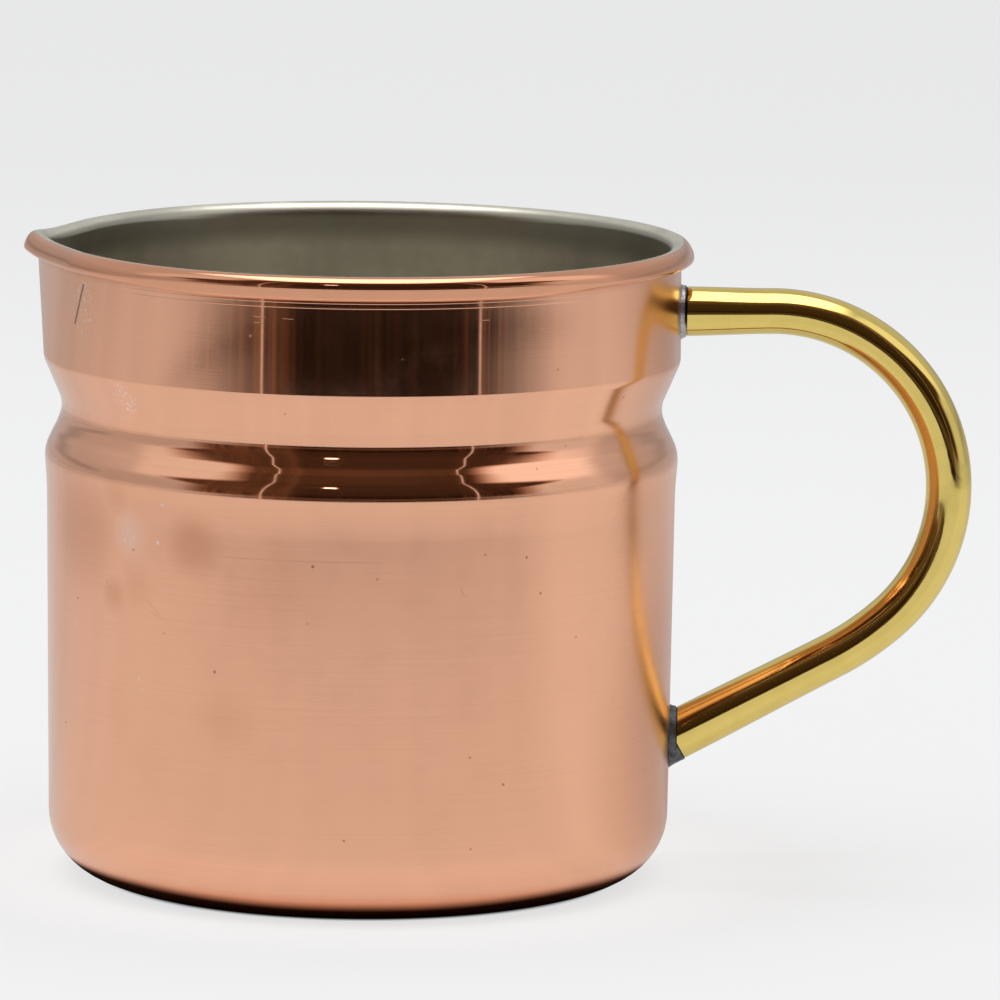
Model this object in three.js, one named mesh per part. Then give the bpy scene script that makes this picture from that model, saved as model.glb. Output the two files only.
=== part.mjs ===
// Copper milk pot: a small round pot of copper sheet with a grey metal lining, a waist groove
// under its rim, a rolled rim that is pinched into a pouring spout, and a brass tube handle
// soldered on at two places. Millimetres, +Z up. The pot stands on z = 0 with its axis on Z,
// the handle points along +X and the spout along -X.
import * as THREE from 'three';

// Pot, driving dimensions
const rim_height = 89.75;
const body_radius = 44.0;
const lower_wall_draft_deg = 0.53;
const foot_rounding = 9.1;
const copper_thickness = 0.9;
const lining_thickness = 0.6;

// Waist groove, driving dimensions. Its lower slope starts from a shoulder that stands slightly
// proud of the wall, and bends once on its way into the groove.
const band_height = 16.75;
const groove_height = 12.97;
const groove_depth = 2.38;
const groove_deepest_share = 0.48;
const groove_rounding = 4.5;
const slope_break_depth = 1.48;
const slope_break_share = 0.298;
const slope_break_rounding = 5.0;
const shoulder_height = 4.69;
const shoulder_swell = 0.41;
const shoulder_rounding = 5.5;
const shoulder_foot_rounding = 5.0;
const band_foot_rounding = 2.5;
const band_swell = 0.52;
const band_lean = 0.12;

// Rolled rim, driving dimensions. Its section is three arcs that touch each other: a tight crest,
// a flatter face, and a curl that turns back under towards the wall. Near the spout and near the
// handle the roll is squeezed a little lower, and its outer side droops.
const rim_roll_overhang = 1.8;
const rim_roll_crest_rounding = 1.45;
const rim_roll_face_rounding = 3.0;
const rim_roll_face_turn_deg = 30;
const rim_roll_curl_rounding = 0.7;
const rim_roll_curl_turn_deg = 110;
const rim_roll_sheet = 0.6;
const rim_roll_height = 3.3;
const rim_roll_squeeze = 0.3;
const rim_roll_droop = 1.0;
const flare_height = 2.0;
const lining_edge_thickness = 0.25;

// Pouring spout, driving dimensions
const spout_reach = 1.15;
const spout_ridge_half_width_deg = 2.5;
const spout_raise = 0.5;
const spout_raise_half_width_deg = 7;
const crease_angle_deg = 26.25;
const crease_pinch = 1.0;
const crease_fade_deg = 24;

// Handle, driving dimensions
const tube_diameter = 6.95;
const tube_wall = 1.0;
const bend_flattening = 0.28;
const bend_spread = 0.12;
const handle_top_drop = 9.9;
const handle_top_rise_deg = 0.7;
const handle_reach = 37.97;
const handle_span = 60.65;
const handle_foot_slope_deg = 27.8;
const handle_lead_radius = 40;
const handle_lead_turn_deg = 13.7;

// Solder joints, driving dimensions
const upper_solder_thickness = 0.78;
const upper_solder_spread = 0.5;
const lower_solder_thickness = 1.0;
const lower_solder_spread_up = 0.6;
const lower_solder_spread_down = 1.25;
const lower_solder_spread_side = 0.55;
const solder_lap = 0.12;
const solder_clearance = 0.15;
const square_cut_below_axis = 0.86;

// How finely the curved forms are divided
const spout_zone_deg = 37.5;
const spout_zone_steps = 9;
const spout_zone_crowding = 1.42;
const plain_zone_steps = 38;
const foot_steps = 5;
const slight_corner_steps = 1;
const shoulder_steps = 2;
const band_foot_steps = 2;
const groove_steps = 3;
const roll_crest_steps = 4;
const roll_face_steps = 2;
const roll_curl_steps = 4;
const hollow_crest_steps = 3;
const hollow_face_steps = 1;
const hollow_curl_steps = 2;
const flare_steps = 4;
const tube_sides = 16;
const straight_steps = 4;
const bend_steps = 20;
const lead_steps = 2;

const rad = THREE.MathUtils.degToRad;
const point = (r, z) => new THREE.Vector2(r, z);

// Heights that follow from the driving dimensions
const wall_top_height = rim_height - flare_height;
const band_bottom_height = rim_height - band_height;
const groove_bottom_height = band_bottom_height - groove_height;
const groove_deepest_height = groove_bottom_height + groove_height * groove_deepest_share;
const slope_break_height = groove_bottom_height + groove_height * slope_break_share;
const shoulder_foot_height = groove_bottom_height - shoulder_height;
const band_bottom_radius = body_radius + band_swell;
const band_top_radius = band_bottom_radius - band_lean;
const crest_radius = band_top_radius + rim_roll_overhang - rim_roll_crest_rounding;

// Outside of the pot as sharp corners with a rounding each, from the middle of the base to the
// top of the band.
function outsideCorners() {
  const foot_corner_radius = body_radius - shoulder_foot_height * Math.tan(rad(lower_wall_draft_deg));
  const corner = (r, z, rounding, steps) => ({ at: point(r, z), rounding, steps });
  return [
    corner(0, 0),
    corner(foot_corner_radius, 0, foot_rounding, foot_steps),
    corner(body_radius, shoulder_foot_height, shoulder_foot_rounding, slight_corner_steps),
    corner(body_radius + shoulder_swell, groove_bottom_height, shoulder_rounding, shoulder_steps),
    corner(body_radius - slope_break_depth, slope_break_height, slope_break_rounding, slight_corner_steps),
    corner(body_radius - groove_depth, groove_deepest_height, groove_rounding, groove_steps),
    corner(band_bottom_radius, band_bottom_height, band_foot_rounding, band_foot_steps),
    corner(band_top_radius, wall_top_height),
  ];
}

// The side of the turn at b on the way from a to c: +1 to the left, -1 to the right.
function turnSide(a, b, c) {
  return Math.sign((b.x - a.x) * (c.y - b.y) - (b.y - a.y) * (c.x - b.x));
}

// The same corners, moved inward by a thickness of sheet. A rounding whose middle lies on the
// inner side gets smaller by that thickness and the others get larger.
function insetCorners(corners, thickness) {
  const smallest_rounding = 0.2;
  const lines = [];
  for (let i = 0; i + 1 < corners.length; i += 1) {
    const along = corners[i + 1].at.clone().sub(corners[i].at).normalize();
    const inward = point(-along.y, along.x).multiplyScalar(thickness);
    lines.push({ from: corners[i].at.clone().add(inward), along });
  }
  return corners.map((corner, i) => {
    if (i === 0) return { at: point(0, thickness) };
    if (i === corners.length - 1) {
      const last = lines[i - 1];
      const rise = (corner.at.y - last.from.y) / last.along.y;
      return { at: last.from.clone().addScaledVector(last.along, rise) };
    }
    const a = lines[i - 1];
    const b = lines[i];
    const gap = b.from.clone().sub(a.from);
    const distance = gap.cross(b.along) / a.along.cross(b.along);
    const side = turnSide(corners[i - 1].at, corner.at, corners[i + 1].at);
    const rounding = Math.max(corner.rounding - side * thickness, smallest_rounding);
    return { at: a.from.clone().addScaledVector(a.along, distance), rounding, steps: corner.steps };
  });
}

// Replaces each corner that has a rounding by an arc that touches both its sides.
function roundCorners(corners) {
  const outline = [];
  corners.forEach((corner, i) => {
    if (!corner.rounding) {
      outline.push(corner.at.clone());
      return;
    }
    const before = corners[i - 1].at.clone().sub(corner.at).normalize();
    const after = corners[i + 1].at.clone().sub(corner.at).normalize();
    const half_angle = Math.acos(before.dot(after)) / 2;
    const bisector = before.clone().add(after).normalize();
    const centre = corner.at.clone().addScaledVector(bisector, corner.rounding / Math.sin(half_angle));
    const first = corner.at.clone().addScaledVector(before, corner.rounding / Math.tan(half_angle)).sub(centre);
    const side = turnSide(corners[i - 1].at, corner.at, corners[i + 1].at);
    const sweep = side * (Math.PI - 2 * half_angle);
    for (let k = 0; k <= corner.steps; k += 1) {
      outline.push(first.clone().rotateAround(point(0, 0), (sweep * k) / corner.steps).add(centre));
    }
  });
  return outline;
}

// Points of an ellipse about a centre, from one angle to another.
function ellipseArc(centre, wide, high, from_deg, to_deg, steps) {
  const points = [];
  for (let k = 0; k <= steps; k += 1) {
    const a = rad(from_deg + ((to_deg - from_deg) * k) / steps);
    points.push(point(centre.x + wide * Math.cos(a), centre.y + high * Math.sin(a)));
  }
  return points;
}

const outside = outsideCorners();
const between = insetCorners(outside, copper_thickness);
const inside = insetCorners(outside, copper_thickness + lining_thickness);
const flare_centre = point(crest_radius, wall_top_height);

// The face that copper and lining share, from the middle of the base over the wall's top to the
// edge of the lining on the highest line of the rim.
function sharedFace() {
  const wall = roundCorners(between);
  const wall_top = wall.pop();
  const wide = flare_centre.x - wall_top.x;
  const high = flare_height - lining_edge_thickness;
  return wall.concat(ellipseArc(flare_centre, wide, high, 180, 90, flare_steps));
}

// The rolled rim's three arcs at a depth inside its surface, from an angle of the crest round to
// the cut edge at the wall.
function rollArcs(depth, from_deg, crest_steps, face_steps, curl_steps) {
  const crest = point(crest_radius, rim_height - rim_roll_crest_rounding);
  const face = point(crest.x - rim_roll_face_rounding + rim_roll_crest_rounding, crest.y);
  const face_end = rad(rim_roll_face_turn_deg);
  const to_curl = point(Math.cos(face_end), -Math.sin(face_end));
  const curl = face.clone().addScaledVector(to_curl, rim_roll_face_rounding - rim_roll_curl_rounding);
  const crest_size = rim_roll_crest_rounding - depth;
  const face_size = rim_roll_face_rounding - depth;
  const curl_size = rim_roll_curl_rounding - depth;
  const curl_end_deg = -rim_roll_face_turn_deg - rim_roll_curl_turn_deg;
  return [
    ...ellipseArc(crest, crest_size, crest_size, from_deg, 0, crest_steps),
    ...ellipseArc(face, face_size, face_size, 0, -rim_roll_face_turn_deg, face_steps).slice(1),
    ...ellipseArc(curl, curl_size, curl_size, -rim_roll_face_turn_deg, curl_end_deg, curl_steps).slice(1),
  ];
}

// The rolled edge of the copper, from the top of the wall behind the roll, round the hollow of
// the roll to its cut edge, which leaves a slit at the wall, and back round the outside to the
// highest line of the rim.
function rolledEdge() {
  const hollow_size = rim_roll_crest_rounding - rim_roll_sheet;
  const wall_deg = THREE.MathUtils.radToDeg(Math.acos((band_top_radius - crest_radius) / hollow_size));
  const hollow = rollArcs(rim_roll_sheet, wall_deg, hollow_crest_steps, hollow_face_steps, hollow_curl_steps);
  const surface = rollArcs(0, 90, roll_crest_steps, roll_face_steps, roll_curl_steps);
  return [...hollow, ...surface.reverse()];
}

// Section of the copper body, anticlockwise from the middle of its standing face.
function bodySection() {
  const wall = roundCorners(outside);
  wall.pop();
  return [...wall, ...rolledEdge(), ...sharedFace().reverse()];
}

// Section of the lining, anticlockwise from the middle of its underside.
function liningSection() {
  const wall = roundCorners(inside);
  const wall_top = wall.pop();
  const flare = ellipseArc(flare_centre, flare_centre.x - wall_top.x, flare_height, 90, 180, flare_steps);
  return [...sharedFace(), ...flare, ...wall.reverse()];
}

// The angles round the pot at which its section is placed, measured from the spout and crowded
// towards it.
function stations() {
  const angles = [];
  for (let k = -spout_zone_steps; k <= spout_zone_steps; k += 1) {
    const share = Math.abs(k) / spout_zone_steps;
    angles.push(Math.sign(k) * spout_zone_deg * share ** spout_zone_crowding);
  }
  const plain_zone_deg = 360 - 2 * spout_zone_deg;
  for (let k = 1; k < plain_zone_steps; k += 1) {
    angles.push(spout_zone_deg + (plain_zone_deg * k) / plain_zone_steps);
  }
  return angles;
}

const bell = (x) => Math.exp(-x * x);

// How far the rim lies out of its circle at an angle from the spout. Outside the two creases it
// is pinched in a little. Between them the sheet runs straight from each crease to the ridge of
// the spout. A straight line is radius = 1 / (A cos + B sin), and the sine is rounded off near
// the ridge so that both sides meet in a soft edge.
function rimShift(side_deg) {
  if (side_deg >= crease_angle_deg) {
    return -crease_pinch * bell((side_deg - crease_angle_deg) / crease_fade_deg);
  }
  const softness = Math.sin(rad(spout_ridge_half_width_deg));
  const softSine = (angle_deg) => Math.hypot(Math.sin(rad(angle_deg)), softness) - softness;
  const ridge_radius = band_top_radius + spout_reach;
  const crease_radius = band_top_radius - crease_pinch;
  const cosine_part = 1 / ridge_radius;
  const crease_cosine = Math.cos(rad(crease_angle_deg));
  const sine_part = (1 / crease_radius - crease_cosine * cosine_part) / softSine(crease_angle_deg);
  const reciprocal = cosine_part * Math.cos(rad(side_deg)) + sine_part * softSine(side_deg);
  return 1 / reciprocal - band_top_radius;
}

// How squeezed the roll is at an angle from the spout: 0 at the front and the back, and 1 near
// the spout and near the handle.
function rollTightness(side_deg) {
  const even_cosine = 0.45;
  const tight_cosine = 0.85;
  return THREE.MathUtils.smoothstep(Math.abs(Math.cos(rad(side_deg))), even_cosine, tight_cosine);
}

// How far the squeeze lifts a point of the section, less the droop of the roll's outer side. The
// lift is largest at the bottom of the roll and ends at the rim and at the foot of the band.
function squeezeLift(p) {
  const roll_bottom_height = rim_height - rim_roll_height;
  const up_to_roll = (p.y - band_bottom_height) / (roll_bottom_height - band_bottom_height);
  const moved = Math.max(Math.min(rim_height - p.y, rim_roll_height * up_to_roll), 0);
  const outward = Math.max(p.x - crest_radius, 0) / rim_roll_crest_rounding;
  return rim_roll_squeeze * moved - rim_roll_droop * outward ** 2;
}

// Places a point of the section at an angle from the spout. The rim's shift fades down the band
// and ends at its foot.
function placeOnPot(p, angle_deg) {
  const from_spout = THREE.MathUtils.euclideanModulo(angle_deg + 180, 360) - 180;
  const side_deg = Math.abs(from_spout);
  const up_the_band = (p.y - band_bottom_height) / (wall_top_height - band_bottom_height);
  const fade = THREE.MathUtils.clamp(up_the_band, 0, 1);
  const radius = p.x + fade * rimShift(side_deg);
  const raise = fade * spout_raise * bell(side_deg / spout_raise_half_width_deg);
  const height = p.y + raise + rollTightness(side_deg) * fade * squeezeLift(p);
  const a = rad(180 + angle_deg);
  return new THREE.Vector3(radius * Math.cos(a), radius * Math.sin(a), height);
}

// Covers a row of rings with triangles. Each ring turns anticlockwise about the way that the row
// runs. A ring of one point closes an end, and a looped row joins its last ring to its first.
// Every four-sided patch is split from its upper ring, so that two pieces that share a face
// split it alike, whichever way their rows run.
function skin(rings, looped = false) {
  const positions = [];
  const starts = rings.map((ring) => {
    const start = positions.length / 3;
    ring.forEach((p) => positions.push(p.x, p.y, p.z));
    return start;
  });
  const index = [];
  const last = looped ? rings.length : rings.length - 1;
  for (let k = 0; k < last; k += 1) {
    const next = (k + 1) % rings.length;
    const count = Math.max(rings[k].length, rings[next].length);
    for (let i = 0; i < count; i += 1) {
      const j = (i + 1) % count;
      const a = starts[k] + (rings[k].length === 1 ? 0 : i);
      const b = starts[k] + (rings[k].length === 1 ? 0 : j);
      const c = starts[next] + (rings[next].length === 1 ? 0 : i);
      const d = starts[next] + (rings[next].length === 1 ? 0 : j);
      if (a === b) index.push(b, d, c);
      else if (c === d) index.push(a, b, c);
      else if (rings[k][0].z > rings[next][0].z) index.push(a, b, d, a, d, c);
      else index.push(a, b, c, b, d, c);
    }
  }
  const geometry = new THREE.BufferGeometry();
  geometry.setAttribute('position', new THREE.Float32BufferAttribute(positions, 3));
  geometry.setIndex(index);
  geometry.computeVertexNormals();
  return geometry;
}

// A closed section that starts and ends on the axis, carried round the pot.
function turnRound(section) {
  const angles = stations();
  const rings = section.map((p) => {
    if (p.x === 0) return [new THREE.Vector3(0, 0, p.y)];
    return angles.map((angle) => placeOnPot(p, angle));
  });
  return skin(rings);
}

// Radius of the pot's outside at a height, on the straight runs of wall where the handle sits.
function wallRadiusAt(height) {
  const corners = height > band_bottom_height ? outside.slice(-2) : outside.slice(1, 3);
  const share = (height - corners[0].at.y) / (corners[1].at.y - corners[0].at.y);
  return THREE.MathUtils.lerp(corners[0].at.x, corners[1].at.x, share);
}

const handle_top_height = rim_height - handle_top_drop;
const handle_foot_height = handle_top_height - handle_span;
const top_wall_radius = wallRadiusAt(handle_top_height);
const foot_wall_radius = wallRadiusAt(handle_foot_height);
const foot_slope = rad(handle_foot_slope_deg);
const top_rise = rad(handle_top_rise_deg);
const lead_turn = rad(handle_lead_turn_deg);

// The handle's middle line lies in the plane y = 0. A point of it holds its place, the way it
// runs, and how far the tube is flattened there: 1 in the bend, fading to 0 at both walls.
function lineStep(x, z, heading, flat) {
  const along = new THREE.Vector3(Math.cos(heading), 0, Math.sin(heading));
  return { at: new THREE.Vector3(x, 0, z), along, flat };
}

// The move from one end of an arc to the other, when it turns to the right from a heading.
function arcMove(radius, heading, turn) {
  const end = heading - turn;
  return point(radius * (Math.sin(heading) - Math.sin(end)), radius * (Math.cos(end) - Math.cos(heading)));
}

// The radius of the main bend follows from the two heights, the reach and the slope of the foot:
// the middle line reaches its furthest point a quarter turn into the bend, and the lead and the
// foot then have to arrive at the wall at the foot's height.
function bendRadius() {
  const main_turn = Math.PI - foot_slope + top_rise - lead_turn;
  const unit_bend = arcMove(1, top_rise, main_turn);
  const unit_to_furthest = arcMove(1, top_rise, Math.PI / 2 + top_rise);
  const lead = arcMove(handle_lead_radius, top_rise - main_turn, lead_turn);
  const slope = Math.tan(foot_slope);
  const furthest = top_wall_radius + handle_reach;
  const rise = Math.tan(top_rise);
  // Height at the foot's wall = fixed_height + radius * height_per_radius
  const start_height = handle_top_height + rise * (furthest - top_wall_radius);
  const fixed_height = start_height + lead.y - slope * (furthest + lead.x - foot_wall_radius);
  const start_shift = -unit_to_furthest.x;
  const height_per_radius = rise * start_shift + unit_bend.y - slope * (start_shift + unit_bend.x);
  return (handle_foot_height - fixed_height) / height_per_radius;
}

function handleLine() {
  const radius = bendRadius();
  const main_turn = Math.PI - foot_slope + top_rise - lead_turn;
  const bend_start_x = top_wall_radius + handle_reach - radius * arcMove(1, top_rise, Math.PI / 2 + top_rise).x;
  const steps = [];
  for (let k = 0; k < straight_steps; k += 1) {
    const share = k / straight_steps;
    const x = THREE.MathUtils.lerp(top_wall_radius + upper_solder_thickness, bend_start_x, share);
    const z = handle_top_height + Math.tan(top_rise) * (x - top_wall_radius);
    steps.push(lineStep(x, z, top_rise, share));
  }
  const bend_start_z = handle_top_height + Math.tan(top_rise) * (bend_start_x - top_wall_radius);
  for (let k = 0; k <= bend_steps; k += 1) {
    const turn = (main_turn * k) / bend_steps;
    const move = arcMove(radius, top_rise, turn);
    steps.push(lineStep(bend_start_x + move.x, bend_start_z + move.y, top_rise - turn, 1));
  }
  const lead_start = steps.at(-1).at;
  const lead_heading = top_rise - main_turn;
  for (let k = 1; k <= lead_steps; k += 1) {
    const turn = (lead_turn * k) / lead_steps;
    const move = arcMove(handle_lead_radius, lead_heading, turn);
    steps.push(lineStep(lead_start.x + move.x, lead_start.z + move.y, lead_heading - turn, 1));
  }
  const foot_start = steps.at(-1).at;
  for (let k = 1; k <= straight_steps; k += 1) {
    const share = k / straight_steps;
    const x = THREE.MathUtils.lerp(foot_start.x, foot_wall_radius, share);
    const z = foot_start.z - Math.tan(foot_slope) * (foot_start.x - x);
    steps.push(lineStep(x, z, foot_slope - Math.PI, 1 - share));
  }
  return steps;
}

// One ring of the tube about a point of its middle line: an oval, wider across the bend's plane
// than in it where the tube is flattened. The inset is 0 outside and the tube's wall in the bore.
function tubeRing(step, inset) {
  const up = new THREE.Vector3(-step.along.z, 0, step.along.x);
  const across = new THREE.Vector3(0, 1, 0);
  const wide = tube_diameter / 2 + bend_spread * step.flat - inset;
  const high = tube_diameter / 2 - bend_flattening * step.flat - inset;
  const ring = [];
  for (let i = 0; i < tube_sides; i += 1) {
    const a = (2 * Math.PI * i) / tube_sides;
    const p = step.at.clone().addScaledVector(across, wide * Math.cos(a));
    ring.push(p.addScaledVector(up, high * Math.sin(a)));
  }
  return ring;
}

// Both ends of the tube, each with its wall, the way that leads off from the wall along the
// tube, and the thickness of its solder. The foot keeps a part of its first, square cut.
const handle_line = handleLine();
const top_end = {
  step: handle_line[0],
  away: handle_line[0].along.clone(),
  wall_radius: top_wall_radius,
  thickness: upper_solder_thickness,
  square_cut: -Infinity,
};
const foot_end = {
  step: handle_line.at(-1),
  away: handle_line.at(-1).along.clone().negate(),
  wall_radius: foot_wall_radius,
  thickness: lower_solder_thickness,
  square_cut: lower_solder_thickness / Math.cos(foot_slope) - square_cut_below_axis * Math.sin(foot_slope),
};

// Slides a point of an end's ring along the tube to the face that the end is dressed to, which
// follows the round wall at the thickness of the solder, and stops at the square cut.
function slideToFace(p, end, back_off) {
  const face_x = Math.sqrt((end.wall_radius + end.thickness) ** 2 - p.y * p.y);
  const to_face = (face_x - p.x) / end.away.x;
  const to_square_cut = end.square_cut - p.clone().sub(end.step.at).dot(end.away);
  return p.clone().addScaledVector(end.away, Math.max(to_face, to_square_cut) - back_off);
}

function handleGeometry() {
  const row = [0, tube_wall].map((inset) => handle_line.map((step, i) => {
    const ring = tubeRing(step, inset);
    if (i === 0) return ring.map((p) => slideToFace(p, top_end, 0));
    if (i === handle_line.length - 1) return ring.map((p) => slideToFace(p, foot_end, 0));
    return ring;
  }));
  return skin([...row[0], ...row[1].reverse()], true);
}

// A solder joint fills the room between the wall and an end of the tube. It spreads on the wall
// and narrows in a hollow curve to just over the tube's size.
function solderGeometry(end, spread) {
  const waist_share = 0.5;
  const waist_hollow = 0.3;
  const step = { at: end.step.at, along: end.away, flat: 0 };
  const on_wall = (y) => Math.sqrt((end.wall_radius + solder_clearance) ** 2 - y * y);
  const rim = tubeRing(step, -solder_lap).map((p) => slideToFace(p, end, solder_clearance));
  const foot = rim.map((p, i) => {
    const a = (2 * Math.PI * i) / tube_sides;
    const y = p.y + spread.side * Math.cos(a);
    const z = p.z + Math.sin(a) * (Math.sin(a) > 0 ? spread.up : spread.down);
    return new THREE.Vector3(on_wall(y), y, z);
  });
  const waist = foot.map((p, i) => {
    const x = THREE.MathUtils.lerp(p.x, rim[i].x, waist_share);
    const q = p.clone().lerp(rim[i], 1 - waist_hollow);
    return new THREE.Vector3(x, q.y, q.z);
  });
  const face = (inset) => tubeRing(step, inset).map((p) => slideToFace(p, end, solder_clearance));
  const wall_middle = new THREE.Vector3(end.wall_radius + solder_clearance, 0, end.step.at.z);
  const face_middle = slideToFace(end.step.at, end, solder_clearance);
  return skin([[wall_middle], foot, waist, rim, face(0), face(tube_wall), [face_middle]]);
}

function namedMesh(name, geometry, color, roughness) {
  const material = new THREE.MeshStandardMaterial({ color, roughness, metalness: 1 });
  const mesh = new THREE.Mesh(geometry, material);
  mesh.name = name;
  return mesh;
}

const copper_color = new THREE.Color(0xd79a7c);
const lining_color = new THREE.Color(0x7d7a70);
const brass_color = new THREE.Color(0xccb45c);
const solder_color = new THREE.Color(0x6f7476);

const vessel = new THREE.Group();
vessel.add(namedMesh('pot_body', turnRound(bodySection()), copper_color, 0.28));
vessel.add(namedMesh('inner_lining', turnRound(liningSection()), lining_color, 0.42));

const handle_assembly = new THREE.Group();
const upper_spread = { up: upper_solder_spread, down: upper_solder_spread, side: upper_solder_spread };
const lower_spread = {
  up: lower_solder_spread_up,
  down: lower_solder_spread_down,
  side: lower_solder_spread_side,
};
handle_assembly.add(namedMesh('handle', handleGeometry(), brass_color, 0.15));
handle_assembly.add(namedMesh('upper_solder_joint', solderGeometry(top_end, upper_spread), solder_color, 0.5));
handle_assembly.add(namedMesh('lower_solder_joint', solderGeometry(foot_end, lower_spread), solder_color, 0.5));

const milk_pot = new THREE.Group();
milk_pot.add(vessel, handle_assembly);

export default milk_pot;
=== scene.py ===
# %% [markdown]
# # A small copper milk pot
#
# The pot is a cup of copper sheet with a grey lining, a waist groove, a rolled rim pinched into a
# pouring spout, and a brass tube handle that is soldered on at two places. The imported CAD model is
# the frame of this scene: it fixes where everything is. This script replaces its faceted pieces
# with fine ones of the same form, gives them their metal finishes, and lights them.

import math
from types import SimpleNamespace

import bpy
import numpy as np
from mathutils import Matrix, Vector


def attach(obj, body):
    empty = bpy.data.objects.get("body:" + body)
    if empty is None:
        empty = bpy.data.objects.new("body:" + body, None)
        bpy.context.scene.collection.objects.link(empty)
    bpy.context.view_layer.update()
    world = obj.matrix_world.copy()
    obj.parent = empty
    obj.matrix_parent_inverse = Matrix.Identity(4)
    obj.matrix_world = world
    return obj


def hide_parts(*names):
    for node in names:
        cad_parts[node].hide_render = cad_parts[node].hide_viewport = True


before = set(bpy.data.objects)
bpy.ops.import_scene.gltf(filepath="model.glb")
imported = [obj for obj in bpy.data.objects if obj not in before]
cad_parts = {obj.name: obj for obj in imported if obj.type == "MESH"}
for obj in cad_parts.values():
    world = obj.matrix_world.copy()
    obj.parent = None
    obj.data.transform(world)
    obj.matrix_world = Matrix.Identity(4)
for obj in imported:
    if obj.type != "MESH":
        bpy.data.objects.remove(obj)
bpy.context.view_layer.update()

# %% [markdown]
# ## The section of the pot
#
# A spun pot is one outline turned round an axis, so its outline is worked out first, flat, as
# radius and height in millimetres. The outline is written as a few sharp corners with a rounding
# each, because that is how a spinner's former is drawn: two straight walls, a groove between them
# and a rounded foot. Every rounding then becomes a true arc that touches both of its sides.

# %% Sizes of the cup's outline, in millimetres
rim_height = 89.75
body_radius = 44.0
lower_wall_draft_deg = 0.53
foot_rounding = 9.1
copper_thickness = 0.9
lining_thickness = 0.6
shoulder_foot_height = 55.34
band_bottom_height = 73.0
band_bottom_radius = 44.52
band_top_radius = 44.40
flare_height = 2.0
smallest_rounding = 0.2
print("The rim stands", rim_height, "mm high, and the body is", 2 * body_radius, "mm wide")


# %% Arcs and rounded corners
def arc(centre, wide, high, from_deg, to_deg, steps):
    """Points of an ellipse about a centre. The angle runs evenly from one end to the other."""
    angle = np.radians(np.linspace(from_deg, to_deg, steps + 1))
    return np.stack([centre[0] + wide * np.cos(angle), centre[1] + high * np.sin(angle)], axis=1)


def turn_side(a, b, c):
    """+1 where the way from a over b to c turns left, -1 where it turns right."""
    return np.sign((b[0] - a[0]) * (c[1] - b[1]) - (b[1] - a[1]) * (c[0] - b[0]))


def rounded(corners, roundings, steps=14):
    """A polyline with its inner corners replaced by arcs. The centre of each arc lies on the
    corner's bisector, at the rounding over the sine of half the corner's angle."""
    outline = [corners[:1]]
    for before, corner, after, rounding in zip(corners, corners[1:], corners[2:], roundings):
        back = (before - corner) / np.linalg.norm(before - corner)
        ahead = (after - corner) / np.linalg.norm(after - corner)
        half_angle = math.acos(back @ ahead) / 2
        bisector = (back + ahead) / np.linalg.norm(back + ahead)
        centre = corner + bisector * rounding / math.sin(half_angle)
        start = corner + back * rounding / math.tan(half_angle) - centre
        start_deg = math.degrees(math.atan2(start[1], start[0]))
        sweep_deg = turn_side(before, corner, after) * (180 - math.degrees(2 * half_angle))
        outline.append(arc(centre, rounding, rounding, start_deg, start_deg + sweep_deg, steps))
    outline.append(corners[-1:])
    return np.concatenate(outline)


print("A quarter circle in two steps:", arc((0, 0), 1, 1, 0, 90, 2).round(3).tolist())

# %% Corners of the outside, and of the two faces inside it
# Corners from the axis along the base and up the wall: the shoulder, the bent slope under the
# groove, the groove's bottom, and the foot and top of the band. Then the roundings between them.
foot_corner_radius = body_radius - shoulder_foot_height * math.tan(math.radians(lower_wall_draft_deg))
outside_corners = np.array([
    (0.0, 0.0),
    (foot_corner_radius, 0.0),
    (body_radius, shoulder_foot_height),
    (44.41, 60.03),
    (43.26, 62.45),
    (42.79, 63.35),
    (41.62, 66.256),
    (band_bottom_radius, band_bottom_height),
    (band_top_radius, rim_height - flare_height),
])
outside_roundings = np.array([foot_rounding, 55.0, 5.5, 6.0, 6.0, 4.5, 2.5])


def inset(thickness):
    """The same corners and roundings, moved inward by a thickness of sheet. Each side moves along
    its own normal, and a corner lies where its two moved sides meet."""
    sides = np.diff(outside_corners, axis=0)
    sides = sides / np.linalg.norm(sides, axis=1)[:, None]
    starts = outside_corners[:-1] + thickness * np.stack([-sides[:, 1], sides[:, 0]], axis=1)
    moved = [np.array([0.0, thickness])]
    for k in range(1, len(sides)):
        across = np.stack([sides[k - 1], -sides[k]], axis=1)
        step = np.linalg.solve(across, starts[k] - starts[k - 1])[0]
        moved.append(starts[k - 1] + step * sides[k - 1])
    rise = (outside_corners[-1, 1] - starts[-1, 1]) / sides[-1, 1]
    moved.append(starts[-1] + rise * sides[-1])
    turns = [turn_side(*outside_corners[k - 1:k + 2]) for k in range(1, len(sides))]
    return np.array(moved), np.maximum(outside_roundings - thickness * np.array(turns), smallest_rounding)


copper_inside, copper_inside_roundings = inset(copper_thickness)
lining_inside, lining_inside_roundings = inset(copper_thickness + lining_thickness)
print("Inner radius at the top of the wall:", round(lining_inside[-1, 0], 2), "mm")

# %% [markdown]
# ## The rolled rim
#
# The edge of the copper is rolled outward into a bead, so that no cut edge meets the lip. The
# bead isn't a plain circle: its crest is tight, its face is flatter, and below it curls in towards
# the wall and stops a hair short of it. Three arcs that touch each other give exactly that, and
# the same three arcs, moved in by the thickness of the rolled sheet, give the hollow inside.

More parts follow.
